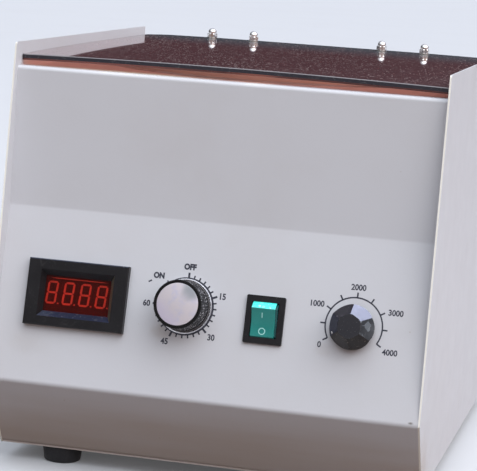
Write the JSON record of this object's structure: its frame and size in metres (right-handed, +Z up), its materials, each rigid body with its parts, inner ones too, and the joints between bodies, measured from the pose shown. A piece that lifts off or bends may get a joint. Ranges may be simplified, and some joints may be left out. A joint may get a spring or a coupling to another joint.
{
  "type": "benchtop centrifuge",
  "caption": "Bench laboratory centrifuge with a sheet-metal case, tinted hinged lid over an angle rotor, speed meter, timer dial, rocker switch and speed dial.",
  "frame": {"origin": "on the floor, under the middle of the whole box", "axes": "+X to the right seen from the front, +Y to the back, +Z up; the control face looks towards -Y"},
  "size_m": [0.288, 0.3927, 0.2839],
  "materials": {
    "white_paint": "smooth off-white powder coat, satin",
    "lid_tint": "dark red-brown tinted acrylic, glossy, lightly dusty",
    "chamber_steel": "spun stainless steel",
    "gasket_rubber": "soft black rubber",
    "seal_rubber": "soft grey silicone rubber",
    "foot_rubber": "black moulded rubber",
    "zinc": "bright zinc plate",
    "chrome": "bright nickel plate",
    "hinge_steel": "brushed stainless steel",
    "black_plastic": "glossy black moulded plastic",
    "black_matte": "black moulded plastic, fine texture",
    "knurled_black": "black plastic with fine knurling",
    "knob_cap": "spun satin aluminium",
    "rocker_green": "translucent green plastic",
    "window_red": "red filter window, glossy",
    "digit_red": "unlit seven-bar figures",
    "rotor_alloy": "satin anodised aluminium",
    "sleeve_alloy": "spun aluminium",
    "shaft_steel": "ground steel",
    "motor_paint": "dark grey enamel",
    "motor_cast": "die-cast aluminium",
    "lamination": "stacked steel plates, varnished",
    "copper": "copper bars",
    "carbon": "pressed carbon",
    "fan_plastic": "pale moulded plastic",
    "board_green": "green circuit board",
    "board_parts": "mixed electronic parts",
    "movement": "pale moulded timer housing",
    "brass_pins": "plated brass"
  },
  "bodies": {
    "case": {"side_panel_left": "white_paint", "side_panel_right": "white_paint", "front_panel": "white_paint", "top_deck": "white_paint", "rear_panel": "white_paint", "base_plate": "white_paint", "rubber_feet": "foot_rubber", "m4_screws": "zinc", "m3_screws": "zinc", "case_hinge_leaves": "hinge_steel", "hinge_pins": "hinge_steel", "chamber_bowl": "chamber_steel", "chamber_gasket": "seal_rubber", "shaft_boot": "gasket_rubber", "motor_mount_plate": "zinc", "motor_dampers": "gasket_rubber", "damper_bolts": "zinc", "motor_can": "motor_paint", "motor_top_bell": "motor_cast", "motor_bottom_bell": "motor_cast", "motor_stator": "lamination", "motor_bearings": "shaft_steel", "brush_holders": "black_matte", "carbon_brushes": "carbon", "motor_bolts": "zinc", "speed_sensor": "black_matte", "meter_bezel": "black_matte", "meter_window": "window_red", "meter_digits": "digit_red", "meter_case": "black_matte", "timer_body": "movement", "speed_control_body": "zinc", "bushing_nuts": "zinc", "switch_body": "black_plastic", "inlet_socket": "black_matte", "inlet_pins": "brass_pins", "fuse_holder": "black_matte", "control_board": "board_green", "board_parts": "board_parts", "heat_sink": "rotor_alloy"},
    "lid": {"lid_panel": "lid_tint", "lid_hinge_leaves": "hinge_steel", "lid_nuts": "chrome", "lid_washers": "chrome", "lid_screws": "zinc"},
    "rotor": {"rotor_head": "rotor_alloy", "tube_sleeves": "sleeve_alloy", "rotor_nut": "black_matte", "motor_shaft": "shaft_steel", "motor_armature": "lamination", "motor_commutator": "copper", "motor_fan": "fan_plastic", "speed_magnet": "carbon"},
    "timer_dial": {"timer_knob": "knurled_black", "timer_knob_cap": "knob_cap", "timer_spindle": "shaft_steel"},
    "speed_dial": {"speed_knob": "black_plastic", "speed_spindle": "shaft_steel"},
    "rocker": {"switch_rocker": "rocker_green"},
    "fuse_carrier": {"fuse_cap": "black_plastic"}
  },
  "joints": [
    {"name": "lid_hinge", "type": "hinge", "parent": "case", "child": "lid", "pos_m": [0, 0.18995, 0.2689], "axis": [-1, 0, 0], "range_deg": [0, 100]},
    {"name": "rotor_spin", "type": "hinge", "parent": "case", "child": "rotor", "pos_m": [0, 0.00505, 0.2], "axis": [0, 0, 1], "continuous": true},
    {"name": "timer_turn", "type": "hinge", "parent": "case", "child": "timer_dial", "pos_m": [-0.0158, -0.17116, 0.12147], "axis": [0, 0.9737, -0.2277], "range_deg": [-45, 270]},
    {"name": "speed_turn", "type": "hinge", "parent": "case", "child": "speed_dial", "pos_m": [0.0952, -0.17164, 0.11942], "axis": [0, 0.9737, -0.2277], "range_deg": [0, 240]},
    {"name": "power_rocker", "type": "hinge", "parent": "case", "child": "rocker", "pos_m": [0.0374, -0.16655, 0.11679], "axis": [-1, 0, 0], "range_deg": [0, 22]},
    {"name": "fuse_cap_turn", "type": "hinge", "parent": "case", "child": "fuse_carrier", "pos_m": [-0.04, 0.18705, 0.064], "axis": [0, 1, 0], "range_deg": [0, 60]}
  ]
}
